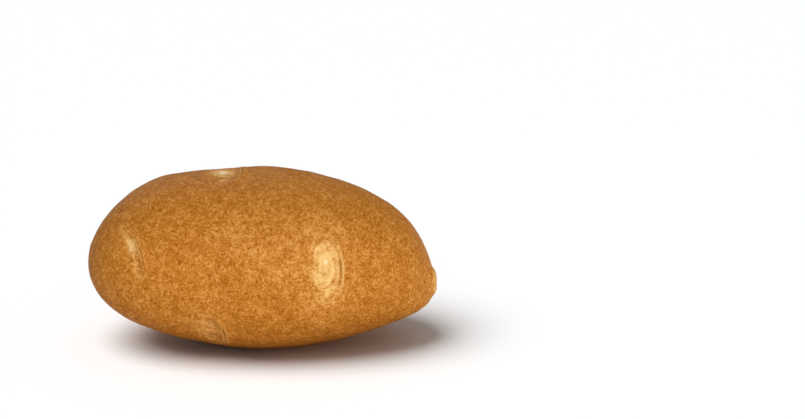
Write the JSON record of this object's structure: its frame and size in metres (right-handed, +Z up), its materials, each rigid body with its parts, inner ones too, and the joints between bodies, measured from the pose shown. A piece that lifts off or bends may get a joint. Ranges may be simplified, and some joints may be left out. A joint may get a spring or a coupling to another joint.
{
  "type": "potato",
  "caption": "Whole raw potato: a plump oblong tuber with thin golden-brown skin and shallow browed eyes, lying on its side on a small flat spot.",
  "frame": {"origin": "on the surface the potato lies on, on its flat spot, under the middle of its bounding box", "axes": "+X along the tuber to its stem end, +Y to the back, away from the side the picture shows, +Z up"},
  "size_m": [0.12, 0.071, 0.061],
  "materials": {
    "skin": "satin"
  },
  "bodies": {
    "root": {"potato": "skin"}
  },
  "joints": []
}
